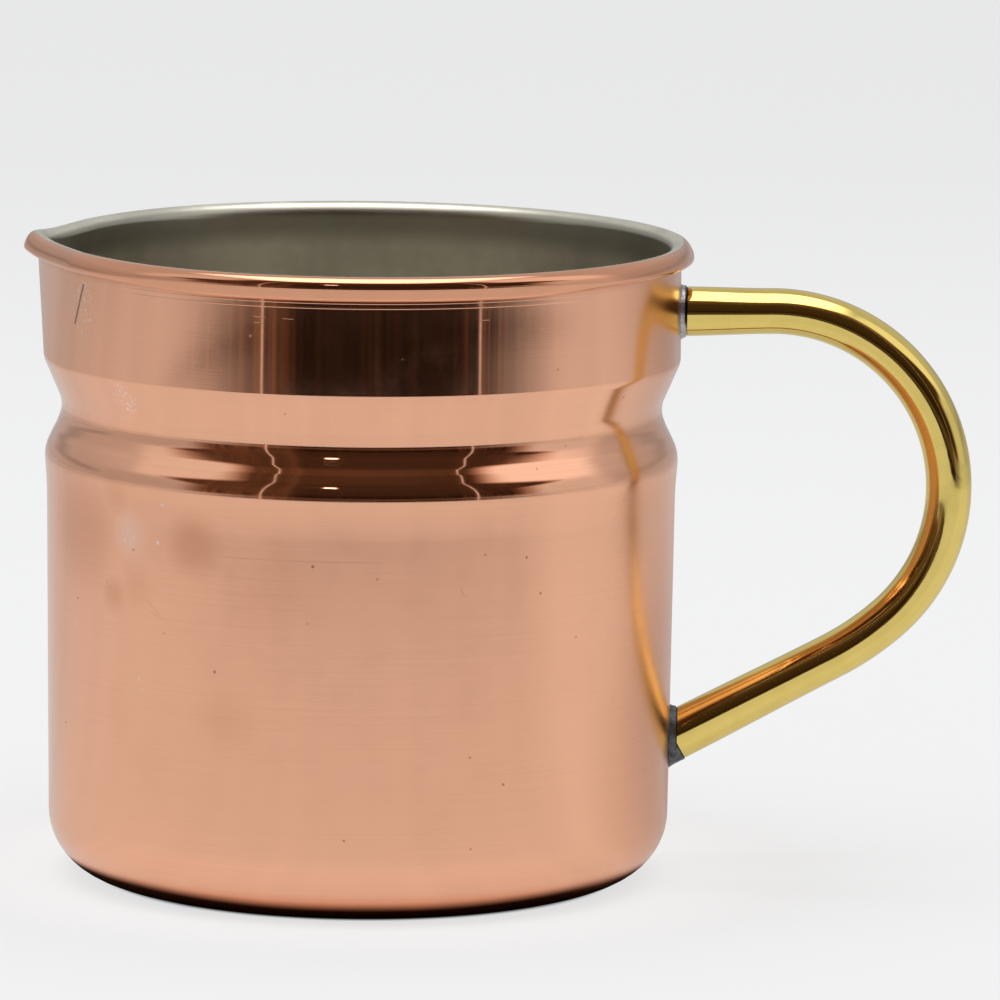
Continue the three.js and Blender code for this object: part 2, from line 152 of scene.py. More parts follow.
# %% Outline of the bead
crest_rounding = 1.45
bead_outer_radius = 46.2
bead_face_rounding = 3.0
bead_face_turn_deg = 30
bead_curl_rounding = 0.7
bead_curl_end_deg = -140
bead_sheet = 0.6
bead_height = 3.3
bead_squeeze = 0.3
bead_droop = 1.0
lining_edge_thickness = 0.25
hollow_steps = 8
bead_steps = 12
flare_steps = 16
lining_flare_steps = 20
wall_spacing = 1.6
closest_share = 0.45
crest_radius = bead_outer_radius - crest_rounding
crest_centre = np.array([crest_radius, rim_height - crest_rounding])
face_centre = crest_centre - [bead_face_rounding - crest_rounding, 0]
face_end = np.radians(-bead_face_turn_deg)
curl_centre = face_centre + (bead_face_rounding - bead_curl_rounding) * np.array(
    [math.cos(face_end), math.sin(face_end)]
)
print("The crest of the rim lies", crest_radius, "mm from the axis")


# %% The closed outlines of copper and lining
def bead(depth, start_deg, steps):
    """The bead's three arcs from its crest to its cut edge, at a depth inside its surface."""
    crest = crest_rounding - depth
    face = bead_face_rounding - depth
    curl = bead_curl_rounding - depth
    return np.concatenate([
        arc(crest_centre, crest, crest, start_deg, 0, steps),
        arc(face_centre, face, face, 0, -bead_face_turn_deg, steps)[1:],
        arc(curl_centre, curl, curl, -bead_face_turn_deg, bead_curl_end_deg, steps)[1:],
    ])


def shared_face():
    """The face between copper and lining, from the base's middle to the crest of the rim."""
    wall = rounded(copper_inside, copper_inside_roundings)[:-1]
    wide = crest_radius - copper_inside[-1, 0]
    high = flare_height - lining_edge_thickness
    flare = arc((crest_radius, rim_height - flare_height), wide, high, 180, 90, flare_steps)
    return np.concatenate([wall, flare])


def spaced(outline, longest):
    """The same outline with more points on its long straight runs. Lengths along the outline and
    an even row of lengths are merged, and the points are read off at all of them. A length of the
    even row is left out where it would lie too close to one of the outline."""
    lengths = np.append(0, np.cumsum(np.linalg.norm(np.diff(outline, axis=0), axis=1)))
    even = np.arange(longest, lengths[-1], longest)
    nearest = np.abs(even[:, None] - lengths[None]).min(axis=1)
    merged = np.sort(np.concatenate([lengths, even[nearest > closest_share * longest]]))
    return np.stack([np.interp(merged, lengths, outline[:, k]) for k in (0, 1)], axis=1)


hollow_rounding = crest_rounding - bead_sheet
hollow_start_deg = math.degrees(math.acos((band_top_radius - crest_radius) / hollow_rounding))
copper_outline = np.concatenate([
    spaced(rounded(outside_corners, outside_roundings)[:-1], wall_spacing)[1:],
    bead(bead_sheet, hollow_start_deg, hollow_steps),
    bead(0, 90, bead_steps)[::-1],
    shared_face()[::-1][:-1],
])
lining_outline = np.concatenate([
    shared_face()[1:],
    arc(
        (crest_radius, rim_height - flare_height),
        crest_radius - lining_inside[-1, 0], flare_height, 90, 180, lining_flare_steps,
    ),
    spaced(rounded(lining_inside, lining_inside_roundings)[::-1], wall_spacing)[1:-1],
])
print("Points round the copper's section:", len(copper_outline), "and the lining's:", len(lining_outline))

# %% [markdown]
# ## The pouring spout
#
# The spout is no piece of its own. The spinner turns a round cup, and the rim is then pulled out
# over a small tool while both flanks are held. The sheet runs straight from a crease on each side
# to the ridge in the middle, as stretched sheet does. So each point of the section is carried
# round the pot, and its radius follows those straight lines near the spout. The change is full at
# the rim and has faded out at the foot of the band. Near the spout and near the handle the bead
# is also squeezed a little lower than at the front, and its outer side droops.

# %% Sizes of the spout and the squeezed bead, in millimetres and degrees
spout_reach = 1.15
ridge_half_width_deg = 2.5
spout_raise = 0.5
spout_raise_half_width_deg = 7
crease_angle_deg = 26.25
crease_pinch = 1.0
crease_fade_deg = 24
stations = 288
crowding = 0.6
squeeze_from_cosine = 0.45
squeeze_full_cosine = 0.85
print("Rings are carried round the pot at", stations, "stations")


# %% How far the rim is moved at the spout
def bell(x):
    """The bell curve, 1 in the middle and a third at 1."""
    return np.exp(-x * x)


def smooth(share):
    """An even rise from 0 to 1 with soft ends: three times its square less twice its cube."""
    return share * share * (3 - 2 * share)


def station_angles():
    """Angles from the spout, in degrees. A cube mixed into an even row crowds them at the spout."""
    even = np.linspace(-1, 1, stations, endpoint=False)
    return 180 * ((1 - crowding) * even + crowding * even ** 3)


def rim_shift(side):
    """How far the rim lies out of its circle. A straight line in polar form is one over the sum of
    a cosine and a sine, and the sine is rounded off at the ridge, so that it turns softly there."""
    softness = math.sin(math.radians(ridge_half_width_deg))

    def soft_sine(degrees):
        return np.hypot(np.sin(np.radians(degrees)), softness) - softness

    crease_cosine = math.cos(math.radians(crease_angle_deg))
    cosine_part = 1 / (band_top_radius + spout_reach)
    at_crease = 1 / (band_top_radius - crease_pinch)
    sine_part = (at_crease - crease_cosine * cosine_part) / soft_sine(crease_angle_deg)
    straight = 1 / (cosine_part * np.cos(np.radians(side)) + sine_part * soft_sine(side)) - band_top_radius
    pinched = -crease_pinch * bell((side - crease_angle_deg) / crease_fade_deg)
    return np.where(side < crease_angle_deg, straight, pinched)


def squeeze_lift(radius, height, side):
    """How far the squeezed bead is lifted: by a share of the depth below the rim, less a droop
    that grows as the square of the way out. The share is a smooth step of the angle's cosine."""
    up_to_bead = (height - band_bottom_height) / (rim_height - bead_height - band_bottom_height)
    moved = np.clip(np.minimum(rim_height - height, bead_height * up_to_bead), 0, None)
    outward = np.clip(radius - crest_radius, 0, None) / crest_rounding
    up_to_full = np.abs(np.cos(np.radians(side))) - squeeze_from_cosine
    share = np.clip(up_to_full / (squeeze_full_cosine - squeeze_from_cosine), 0, 1)
    return smooth(share) * (bead_squeeze * moved - bead_droop * outward ** 2)


print("The spout's ridge lies", float(rim_shift(np.zeros(1))[0].round(2)), "mm outside the rim's circle")


# %% Carry an outline round the pot
def place_on_pot(outline):
    """Rings of points, one for each point of the outline. The radius of a point is its own plus
    the rim's shift, which fades from the rim down to the foot of the band. Its angle is counted
    from the spout, which points along -X."""
    radius, height = outline[:, 0, None], outline[:, 1, None]
    from_spout = station_angles()[None]
    side = np.abs(from_spout)
    up_band = (height - band_bottom_height) / (rim_height - flare_height - band_bottom_height)
    fade = np.clip(up_band, 0, 1)
    out = fade * rim_shift(side)
    up = fade * spout_raise * bell(side / spout_raise_half_width_deg)
    up = up + fade * squeeze_lift(radius, height, side)
    angle = np.radians(180 + from_spout)
    return np.stack([
        (radius + out) * np.cos(angle),
        (radius + out) * np.sin(angle),
        height + up,
    ], axis=-1)


lifted_rim = place_on_pot(np.array([[crest_radius, rim_height]]))[..., 2].max()
print("The lip of the spout is", round(float(lifted_rim), 2), "mm high")

# %% [markdown]
# ## From rings to a closed skin
#
# Every piece here is a row of rings, so one function can cover them all. Neighbouring rings are
# joined by four-sided faces, and an end is closed by a fan round one point, or the last ring is
# joined to the first. The signed volume of the faces tells whether they point outwards.

# %% Cover rings with faces
def skin(name, rings, start=None, end=None, sharp_deg=35):
    """A mesh piece in metres from rings of points in millimetres. With no end points, the last
    ring is joined to the first. The volume is a sum of a third of each face's corner products."""
    rows, sides = rings.shape[:2]
    points = rings.reshape(-1, 3)
    i = np.arange(sides)
    j = np.roll(i, -1)
    looped = start is None
    first = np.arange(rows if looped else rows - 1)[:, None] * sides
    second = (first + sides) % (rows * sides)
    quads = np.stack([first + i, first + j, second + j, second + i], axis=-1).reshape(-1, 4)
    fans = np.empty((0, 3), int)
    if not looped:
        points = np.concatenate([points, [start, end]])
        low, high = len(points) - 2, len(points) - 1
        last = (rows - 1) * sides
        fans = np.concatenate([
            np.stack([np.full(sides, low), j, i], axis=1),
            np.stack([last + i, last + j, np.full(sides, high)], axis=1),
        ])
    triangles = np.concatenate([quads[:, :3], quads[:, [0, 2, 3]], fans])
    a, b, c = (points[triangles[:, k]] for k in range(3))
    volume = np.einsum("ij,ij->", a, np.cross(b, c)) / 6
    if volume < 0:
        quads, fans = quads[:, ::-1], fans[:, ::-1]
    mesh = bpy.data.meshes.new(name)
    mesh.from_pydata(points / 1000, [], quads.tolist() + fans.tolist())
    mesh.shade_smooth()
    mesh.set_sharp_from_angle(angle=math.radians(sharp_deg))
    piece = bpy.data.objects.new(name, mesh)
    bpy.context.scene.collection.objects.link(piece)
    print(name, "has", len(triangles), "triangles and", round(abs(volume) / 1000, 2), "cm3 of material")
    return piece


# %% Make the cup and its lining
copper_cup = skin(
    "copper_cup", place_on_pot(copper_outline), (0, 0, 0), (0, 0, copper_thickness)
)
grey_lining = skin(
    "grey_lining", place_on_pot(lining_outline), (0, 0, copper_thickness),
    (0, 0, copper_thickness + lining_thickness),
)

# %% [markdown]
# ## The handle
#
# The handle is one length of brass tube, bent over a round former. Its middle line is a short
# straight, one large bend, a slight further bend and a second straight that runs back down to the
# wall. Where a tube is bent it flattens a little, so its section is an oval there. The line is
# written as its way of turning: the heading is a running sum of the turns, and the places are a
# running sum of the headings, which keeps every join smooth.

# %% Sizes of the handle, and its main bend
tube_diameter = 6.95
tube_wall = 1.0
bend_flattening = 0.28
bend_spread = 0.12
handle_top_height = 79.85
handle_top_radius = 44.464
handle_foot_height = 19.2
handle_foot_radius = 43.666
handle_top_rise_deg = 0.7
handle_reach = 37.97
foot_slope_deg = 27.8
lead_rounding = 40.0
lead_turn_deg = 13.7
line_step = 0.35
tube_sides = 96


def arc_move(radius, heading, turn):
    """The move from one end of an arc to the other, turning right from a heading."""
    end = heading - turn
    return radius * np.array([np.sin(heading) - np.sin(end), np.cos(end) - np.cos(heading)])


top_rise, foot_slope, lead_turn = np.radians([handle_top_rise_deg, foot_slope_deg, lead_turn_deg])
main_turn = np.pi - foot_slope + top_rise - lead_turn
furthest_turn = np.pi / 2 + top_rise


def main_bend_start(radius):
    """Where the main bend starts for a radius: so far out that it just comes to the reach."""
    out = handle_top_radius + handle_reach - arc_move(radius, top_rise, furthest_turn)[0]
    return np.array([out, handle_top_height + math.tan(top_rise) * (out - handle_top_radius)])


def foot_start(radius):
    """Where the foot's straight starts, past the main bend and the slight further one."""
    after_main = main_bend_start(radius) + arc_move(radius, top_rise, main_turn)
    return after_main + arc_move(lead_rounding, top_rise - main_turn, lead_turn)


def bend_rounding(first_try=20, second_try=30):
    """The radius of the main bend for which the foot arrives at its height on the wall. The height
    where the foot's straight meets the wall grows evenly with that radius, so two tries at the
    radius are enough to read it off."""
    def arrival(radius):
        place = foot_start(radius)
        return place[1] - math.tan(foot_slope) * (place[0] - handle_foot_radius)
    low, high = arrival(first_try), arrival(second_try)
    return first_try + (second_try - first_try) * (handle_foot_height - low) / (high - low)


main_rounding = bend_rounding()
print("The main bend has a radius of", round(main_rounding, 2), "mm")


# %% Middle line of the tube, and rings about it
def middle_line():
    """Places, headings and flattening along the tube, from the upper wall to the lower one. The
    turning per millimetre is one over the radius of the bend that a point lies in."""
    top_length = (main_bend_start(main_rounding)[0] - handle_top_radius) / math.cos(top_rise)
    bend_length = main_rounding * main_turn
    lead_length = lead_rounding * lead_turn
    total = top_length + bend_length + lead_length
    foot_length = (foot_start(main_rounding)[0] - handle_foot_radius) / math.cos(foot_slope)
    length = np.linspace(0, total + foot_length, round((total + foot_length) / line_step))
    in_main = np.clip(length - top_length, 0, bend_length)
    in_lead = np.clip(length - top_length - bend_length, 0, lead_length)
    heading = top_rise - in_main / main_rounding - in_lead / lead_rounding
    middle = (heading[1:] + heading[:-1]) / 2
    steps = np.diff(length)[:, None] * np.stack([np.cos(middle), np.sin(middle)], axis=1)
    places = np.concatenate([[[handle_top_radius, handle_top_height]], steps]).cumsum(axis=0)
    near_wall = np.minimum(length / top_length, (length[-1] - length) / foot_length)
    return places, heading, smooth(np.clip(near_wall, 0, 1))


def tube_rings(places, heading, flat, depth):
    """Oval rings about the middle line, square to it. The width across the bend grows and the
    height in it shrinks with the flattening. The depth is counted inward from the surface."""
    angle = np.linspace(0, 2 * np.pi, tube_sides, endpoint=False)[None]
    wide = (tube_diameter / 2 + bend_spread * flat - depth)[:, None] * np.cos(angle)
    high = (tube_diameter / 2 - bend_flattening * flat - depth)[:, None] * np.sin(angle)
    x = places[:, 0, None] - np.sin(heading)[:, None] * high
    z = places[:, 1, None] + np.cos(heading)[:, None] * high
    return np.stack([x, wide, z], axis=-1)


line_places, line_heading, line_flat = middle_line()
print("The tube's middle line ends at", line_places[-1].round(2), "mm")

# %% [markdown]
# ## The ends of the tube
#
# The upper end is cut square and lies close against the wall, so its end face is dressed to the
# round of the pot. The foot was first cut square and then ground upright against the wall, so
# its lower corner still shows a piece of the square cut. Each line along the tube is shortened or
# lengthened until it meets that face. A narrow bevel catches the light on the edge.

# %% Cut the ends and make the handle
upper_solder_thickness = 0.78
lower_solder_thickness = 1.0
square_cut_below_axis = 0.86
no_square_cut = -100.0
edge_bevel = 0.14
foot_square_cut = lower_solder_thickness / math.cos(foot_slope) - square_cut_below_axis * math.sin(foot_slope)


def tube_end(place, slope, wall, thickness, square):
    """What is known of an end: its place, the way along the tube away from the wall, the wall's
    radius, the thickness of the solder, and how far along the tube its square cut lies."""
    away = np.array([math.cos(slope), 0, math.sin(slope)])
    return {"place": place, "away": away, "wall": wall, "thickness": thickness, "square": square}


top_end = tube_end(line_places[0], top_rise, handle_top_radius, upper_solder_thickness, no_square_cut)
foot_end = tube_end(line_places[-1], foot_slope, handle_foot_radius, lower_solder_thickness, foot_square_cut)


def slide_to_face(points, end, back_off=0.0):
    """Slides points along the tube to the end's face: the round of the wall at the thickness of
    the solder, or the square cut, whichever is further from the wall."""
    face_x = np.sqrt((end["wall"] + end["thickness"]) ** 2 - points[..., 1] ** 2)
    to_face = (face_x - points[..., 0]) / end["away"][0]
    start = np.array([end["place"][0], 0, end["place"][1]])
    to_square = end["square"] - (points - start) @ end["away"]
    slide = np.maximum(to_face, to_square) - back_off
    return points + slide[..., None] * end["away"]


def dressed_tube(depth):
    """Rings of the tube at a depth, with the rings that would lie past an end's face left out, and
    at each end one ring on the face and one just before it. The outer surface turns in by the
    bevel between these two."""
    line = (line_places, line_heading, line_flat)
    first, last = [values[:1] for values in line], [values[-1:] for values in line]
    rings = tube_rings(*line, depth)
    from_top = (rings - slide_to_face(rings, top_end)) @ top_end["away"]
    from_foot = (rings - slide_to_face(rings, foot_end)) @ foot_end["away"]
    near_top = np.arange(len(rings)) < len(rings) / 2
    clear = np.where(near_top, from_top.min(axis=1), from_foot.min(axis=1)) > 2 * edge_bevel
    top = [slide_to_face(rings[0], top_end), slide_to_face(rings[0], top_end, -edge_bevel)]
    foot = [slide_to_face(rings[-1], foot_end, -edge_bevel), slide_to_face(rings[-1], foot_end)]
    if depth == 0:
        top[0] = slide_to_face(tube_rings(*first, edge_bevel)[0], top_end)
        foot[1] = slide_to_face(tube_rings(*last, edge_bevel)[0], foot_end)
    return np.concatenate([top, rings[clear], foot])


brass_handle = skin("brass_handle", np.concatenate([dressed_tube(0), dressed_tube(tube_wall)[::-1]]))

# %% [markdown]
# ## The solder joints
#
# Solder runs into the gap between tube and wall and sets with a hollow, slightly lumpy surface.
# Each joint is a row of rings: a ring on the wall, a waist that is drawn in, a ring over the end
# of the tube and three on its face. The lumps are a few slow waves round the joint, so that the
# shape is uneven but comes out the same each time.

# %% Make the joints
solder_lap = 0.12
solder_clearance = 0.02
solder_steps = 20
solder_face_depths = (0.0, tube_wall, 2.6)

# The waves of the lumps: height, how many go round the joint, and where they start
lump_waves = ((1.0, 3, 0.7), (0.6, 7, 2.1), (0.4, 13, 0.0))


def solder_joint(name, end, spread_up, spread_down, spread_side, hollow, lump):
    """A plug with a drawn-in waist. Its outline shrinks from the wall to the tube by the share of
    the way to a power below one, which is fast at first and makes the hollow curve."""
    line = np.array([end["place"]])
    heading = np.array([math.atan2(end["away"][2], end["away"][0])])
    rim = slide_to_face(tube_rings(line, heading, np.zeros(1), -solder_lap)[0], end, solder_clearance)
    angle = np.linspace(0, 2 * np.pi, tube_sides, endpoint=False)
    high = np.sin(angle) * np.where(np.sin(angle) > 0, spread_up, spread_down)
    waves = lump * sum(size * np.sin(count * angle + start) for size, count, start in lump_waves)
    y = rim[:, 1] + (spread_side + waves) * np.cos(angle)
    z = rim[:, 2] + high + waves * np.sin(angle)
    foot = np.stack([np.sqrt((end["wall"] + solder_clearance) ** 2 - y * y), y, z], axis=1)
    share = np.linspace(0, 1, solder_steps)[:, None, None]
    rings = foot + share ** hollow * (rim - foot)
    rings[..., 0] = (foot + share * (rim - foot))[..., 0]
    face = [
        slide_to_face(tube_rings(line, heading, np.zeros(1), depth)[0], end, solder_clearance)
        for depth in solder_face_depths
    ]
    wall_middle = (end["wall"] + solder_clearance, 0, end["place"][1])
    middle = slide_to_face(np.array([end["place"][0], 0, end["place"][1]]), end, solder_clearance)
    return skin(name, np.concatenate([rings, face]), wall_middle, middle)


upper_joint = solder_joint(
    "upper_joint", top_end, spread_up=0.22, spread_down=0.45, spread_side=0.16, hollow=0.7, lump=0.02
)
lower_joint = solder_joint(
    "lower_joint", foot_end, spread_up=0.35, spread_down=1.25, spread_side=0.15, hollow=0.8, lump=0.04
)

# %% [markdown]
# ## Wiring helpers
#
# Every finish is a small network of nodes that read the place of a point on the piece. Short
# functions keep those networks readable: one adds a node and fills its inputs, a few do sums, and
# others make soft steps, which serve as masks: 1 where a mark is, fading to 0 round it. They all
# add to one tree, the one whose wiring was started last.

# %% Helpers for nodes and sums
wired = SimpleNamespace(tree=None)


def start_wiring(owner):
    """Empties the node tree of a new material or world and makes it the one that is wired."""
    owner.use_nodes = True
    wired.tree = owner.node_tree
    wired.tree.nodes.clear()
    return owner


def add(kind, inputs=(), output=0, **settings):
    """Adds a node, gives its inputs values or links, and returns one of its outputs or all."""
    made = wired.tree.nodes.new("ShaderNode" + kind)
    for name, value in settings.items():
        setattr(made, name, value)
    for key, value in dict(inputs).items():
        if isinstance(value, bpy.types.NodeSocket):
            wired.tree.links.new(value, made.inputs[key])
        else:
            made.inputs[key].default_value = value
    return made.outputs[:] if output == "all" else made.outputs[output]


def sums(operation, *terms, clamp=False):
    """The outcome of one sum."""
    return add("Math", enumerate(terms), operation=operation, use_clamp=clamp)


def chained(operation, terms):
    """One kind of sum along a row of terms, from the first to the last."""
    total = terms[0]
    for term in terms[1:]:
        total = sums(operation, total, term)
    return total


def times(*terms):
    """All terms multiplied."""
    return chained("MULTIPLY", terms)


def plus(*terms):
    """All terms added."""
    return chained("ADD", terms)


def less(first, second):
    """The first term less the second."""
    return sums("SUBTRACT", first, second)


# %% Helpers for soft steps and mixes
def soft_step(value, low, high, to_low=0.0, to_high=1.0):
    """Rises smoothly from one value to another while the input goes from low to high."""
    settings = {"Value": value, "From Min": low, "From Max": high, "To Min": to_low, "To Max": to_high}
    return add("MapRange", settings, interpolation_type="SMOOTHSTEP")


def soft_end(value, low, high):
    """1 below the low value, falling smoothly to 0 at the high one."""
    return soft_step(value, low, high, 1.0, 0.0)


def window(value, low, high, soft):
    """1 between two values and 0 outside them, with soft edges."""
    rise = soft_step(value, low - soft, low + soft)
    return times(rise, soft_end(value, high - soft, high + soft))


def staircase(value, start, *changes):
    """A level that begins at a start and changes smoothly a few times. Each change says from which
    input to which input it lasts, and by how much it lifts the level."""
    steps = [soft_step(value, low, high, 0.0, lift) for low, high, lift in changes]
    return plus(start, *steps)


def noise(vector, scale, detail=2.0, roughness=0.5):
    """Smooth noise between 0 and 1, read at a place."""
    settings = {"Vector": vector, "Scale": scale, "Detail": detail, "Roughness": roughness}
    return add("TexNoise", settings)


def between(share, a, b):
    """A number that goes from a to b while the share goes from 0 to 1."""
    return add("Mix", {0: share, 2: a, 3: b})


def mixed(share, a, b):
    """A colour that goes from a to b while the share goes from 0 to 1."""
    return add("Mix", {0: share, 6: a, 7: b}, output=2, data_type="RGBA")


# %% Helpers for masks
def largest(masks):
    """The largest of several masks at each place."""
    return chained("MAXIMUM", masks)


def weighed(*pairs):
    """The largest of several masks, each taken times its own share."""
    return largest([times(mask, share) for mask, share in pairs])


def spot(in_mm, centre, inner, outer):
    """1 within the inner distance of a place, fading to 0 at the outer one."""
    distance = add("VectorMath", {0: in_mm, 1: centre}, output=1, operation="DISTANCE")
    return soft_end(distance, inner, outer)


def spots(in_mm, places):
    """Several spots, each with its centre, inner distance and outer distance."""
    return largest([spot(in_mm, *place) for place in places])


def stroke(in_mm, start, end, width):
    """1 on the line between two places, fading to 0 at its width. The nearest point of the line
    lies at the share (place - start) . (end - start) / |end - start|^2, kept between 0 and 1."""
    way = np.array(end) - np.array(start)
    from_start = add("VectorMath", {0: in_mm, 1: start}, operation="SUBTRACT")
    per_length = {0: from_start, 1: way / (way @ way)}
    along = add("VectorMath", per_length, output=1, operation="DOT_PRODUCT")
    along = sums("ADD", along, 0.0, clamp=True)
    nearest = add("VectorMath", {0: way, 3: along}, operation="SCALE")
    off_line = {0: from_start, 1: nearest}
    distance = add("VectorMath", off_line, output=1, operation="DISTANCE")
    return soft_end(distance, 0.3 * width, width)


def line_round(height, level, half_width):
    """1 on a line round the pot at a height, fading to 0 at its half width."""
    return soft_end(sums("ABSOLUTE", less(height, level)), 0.0, half_width)


# %% Helpers for places and materials
def length_of(x, y):
    """The length of a level vector: the root of the sum of its parts' squares."""
    return sums("SQRT", plus(times(x, x), times(y, y)))


def bearing_of(x, y):
    """Degrees round the pot, counted from the front towards the handle."""
    return sums("DEGREES", sums("ARCTAN2", x, times(y, -1.0)))


def turned_place():
    """The place on the piece in millimetres, and what patterns that follow the turning need: the
    direction from the axis as two parts, which has no seam, and the height and radius."""
    place = add("TexCoord", output=3)
    in_mm = add("VectorMath", {0: place, 3: 1000.0}, operation="SCALE")
    x, y, height = add("SeparateXYZ", {0: in_mm}, output="all")
    radius = length_of(x, y)
    safe_radius = sums("MAXIMUM", radius, 0.01)
    return SimpleNamespace(
        in_mm=in_mm, height=height, radius=radius,
        east=sums("DIVIDE", x, safe_radius), north=sums("DIVIDE", y, safe_radius),
    )


def turning_lines(here, round_scale, along_scale, roughness):
    """Fine lines round the pot: noise that changes slowly with the direction from the axis and
    fast along the outline, whose run is the height plus the radius."""
    stretched = add("CombineXYZ", {
        0: times(here.east, round_scale),
        1: times(here.north, round_scale),
        2: times(plus(here.height, here.radius), along_scale),
    })
    return noise(stretched, 1.0, detail=4.0, roughness=roughness)


def coated(colour, rough, relief, depth, metallic=1.0, **more):
    """Links the main shader: a colour, a roughness, a relief of a depth in metres, and the rest."""
    bump = add("Bump", {"Height": relief, "Strength": 1.0, "Distance": depth})
    inputs = {"Base Color": colour, "Roughness": rough, "Normal": bump, "Metallic": metallic, **more}
    add("OutputMaterial", {0: add("BsdfPrincipled", inputs)}, output="all")


def dress(pieces, material):
    """Gives the pieces one material and says how large its network is."""
    for piece in pieces:
        piece.data.materials.append(material)
    print(material.name, "has", len(material.node_tree.nodes), "nodes")


# %% [markdown]
# ## Marks on the copper
#
# The copper is polished but not perfect. It was turned on a lathe, so very fine lines run round
# it, which smear reflections up and down. Over them lie haze from handling, a few finger marks,
# dark dots, pale flecks and short scratches, and the wall about both joints is browner and
# duller. Painted shade browns the copper under the bead and darkens the crease of the spout.
# Every mark is a mask that reads the place on the pot, so it stays put from every side.

# %% Where the marks lie, by bearing in degrees and height in millimetres
def on_wall(bearing_deg, height, radius=body_radius):
    """A place on the pot in millimetres, from its bearing, counted from the front towards the
    handle, and its height: the radius times the sine and the cosine of the bearing."""
    angle = math.radians(bearing_deg)
    return radius * math.sin(angle), -radius * math.cos(angle), height


dark_dots = (
    (-52.4, 45.1), (-51.6, 44.5), (-37.6, 39.3), (-27.5, 23.0), (-9.4, 42.2), (-20.6, 31.5), (-18.5, 25.3),
    (-23.1, 22.5), (-51.5, 23.1), (-7.4, 20.9), (12.7, 10.8), (3.0, 48.5), (24.0, 36.0), (31.0, 27.5),
)
dark_dot_reach = (0.10, 0.30)
pale_specks = (
    (-42.5, 31.0), (-44.8, 18.5), (-63.3, 38.0), (-39.0, 51.7), (-37.8, 57.0), (-26.5, 9.5), (-43.6, 32.4),
)
pale_speck_reach = (0.10, 0.38)

# Finger marks: bearing, height, inner and outer distance, strength
finger_marks = (
    (-31.0, 51.9, 1.0, 6.0, 0.58), (-61.0, 52.0, 2.0, 12.0, 0.50), (-50.4, 43.6, 0.5, 3.6, 0.42),
    (-50.0, 57.5, 0.5, 4.5, 0.35), (-44.0, 45.0, 0.5, 4.5, 0.22), (-24.0, 28.0, 1.0, 6.0, 0.16),
    (-16.0, 46.0, 2.0, 9.0, 0.16),
)
breath_mark = (on_wall(-41.0, 54.0), 2.0, 11.0)
pale_glow = (on_wall(-46.0, 52.3), 0.5, 4.6)
pale_glow_strength = 0.24
fleck_patches = (
    (on_wall(-61.5, 82.0, 43.8), 2.0, 4.4),
    (on_wall(-48.0, 70.8, 43.5), 0.8, 3.2),
    (on_wall(-46.3, 52.2), 0.2, 3.0),
)
# Patches about both joints: first where the copper is browner, then where it is duller
joint_browning_spots = (((44.5, 0.0, 82.0), 12.0, 29.0), ((44.0, 0.0, 21.0), 14.0, 36.0))
dull_patches = (((44.5, 0.0, 80.0), 6.0, 15.0), ((44.0, 0.0, 16.5), 6.0, 16.0))

# Scratches: bearing and height of their start, then of their end
band_scratches = (
    (-19.4, 83.9, -17.2, 83.85), (-19.2, 83.1, -17.6, 83.1),
    (-14.0, 83.8, -12.2, 83.75), (20.9, 83.6, 22.6, 83.6),
)
band_scratch_radius = 44.45
band_scratch_width = 0.07
wall_scratches = (
    (-42.3, 44.0, -36.7, 40.6), (-42.3, 42.7, -37.1, 40.8), (-36.5, 44.7, -35.4, 43.1),
    (-23.5, 30.8, -22.6, 27.4), (18.0, 47.0, 19.0, 45.8),
)
wall_scratch_width = 0.13
# The crease at the spout's flank: sunk in the relief, and painted dark in the colour as shade
spout_crease = (on_wall(-61.5, 85.3, 43.59), on_wall(-63.8, 80.0, 43.99))
spout_crease_width = 0.42
tool_line_heights = (85.42, 86.1)
brush_line_height = 50.75
line_half_width = 0.16
# Painted shade under the bead: from these heights upward the copper is painted browner
bead_shade_from, bead_shade_to = 85.9, 87.2
print("Marks on the copper:", len(dark_dots + pale_specks + finger_marks + band_scratches + wall_scratches))


# %% Masks of the marks
def pit_mask(in_mm):
    """Pits at the middles of the cells of a cell pattern, which are some millimetres wide."""
    from_middle = add("TexVoronoi", {"Vector": in_mm, "Scale": 0.16})
    return soft_end(from_middle, 0.018, 0.045)


def finger_mask(in_mm):
    """The finger marks, each at its own strength."""
    return weighed(*[
        (spot(in_mm, on_wall(bearing, height), inner, outer), strength)
        for bearing, height, inner, outer, strength in finger_marks
    ])


def fleck_mask(in_mm):
    """Crumbs of noise inside the fleck patches."""
    crumbs = soft_step(noise(in_mm, 1.9, detail=2.5, roughness=0.65), 0.56, 0.64)
    return times(crumbs, spots(in_mm, fleck_patches))


def scratch_mask(in_mm, marks, radius, width):
    """One stroke for each scratch."""
    return largest([
        stroke(in_mm, on_wall(first, low, radius), on_wall(last, high, radius), width)
        for first, low, last, high in marks
    ])


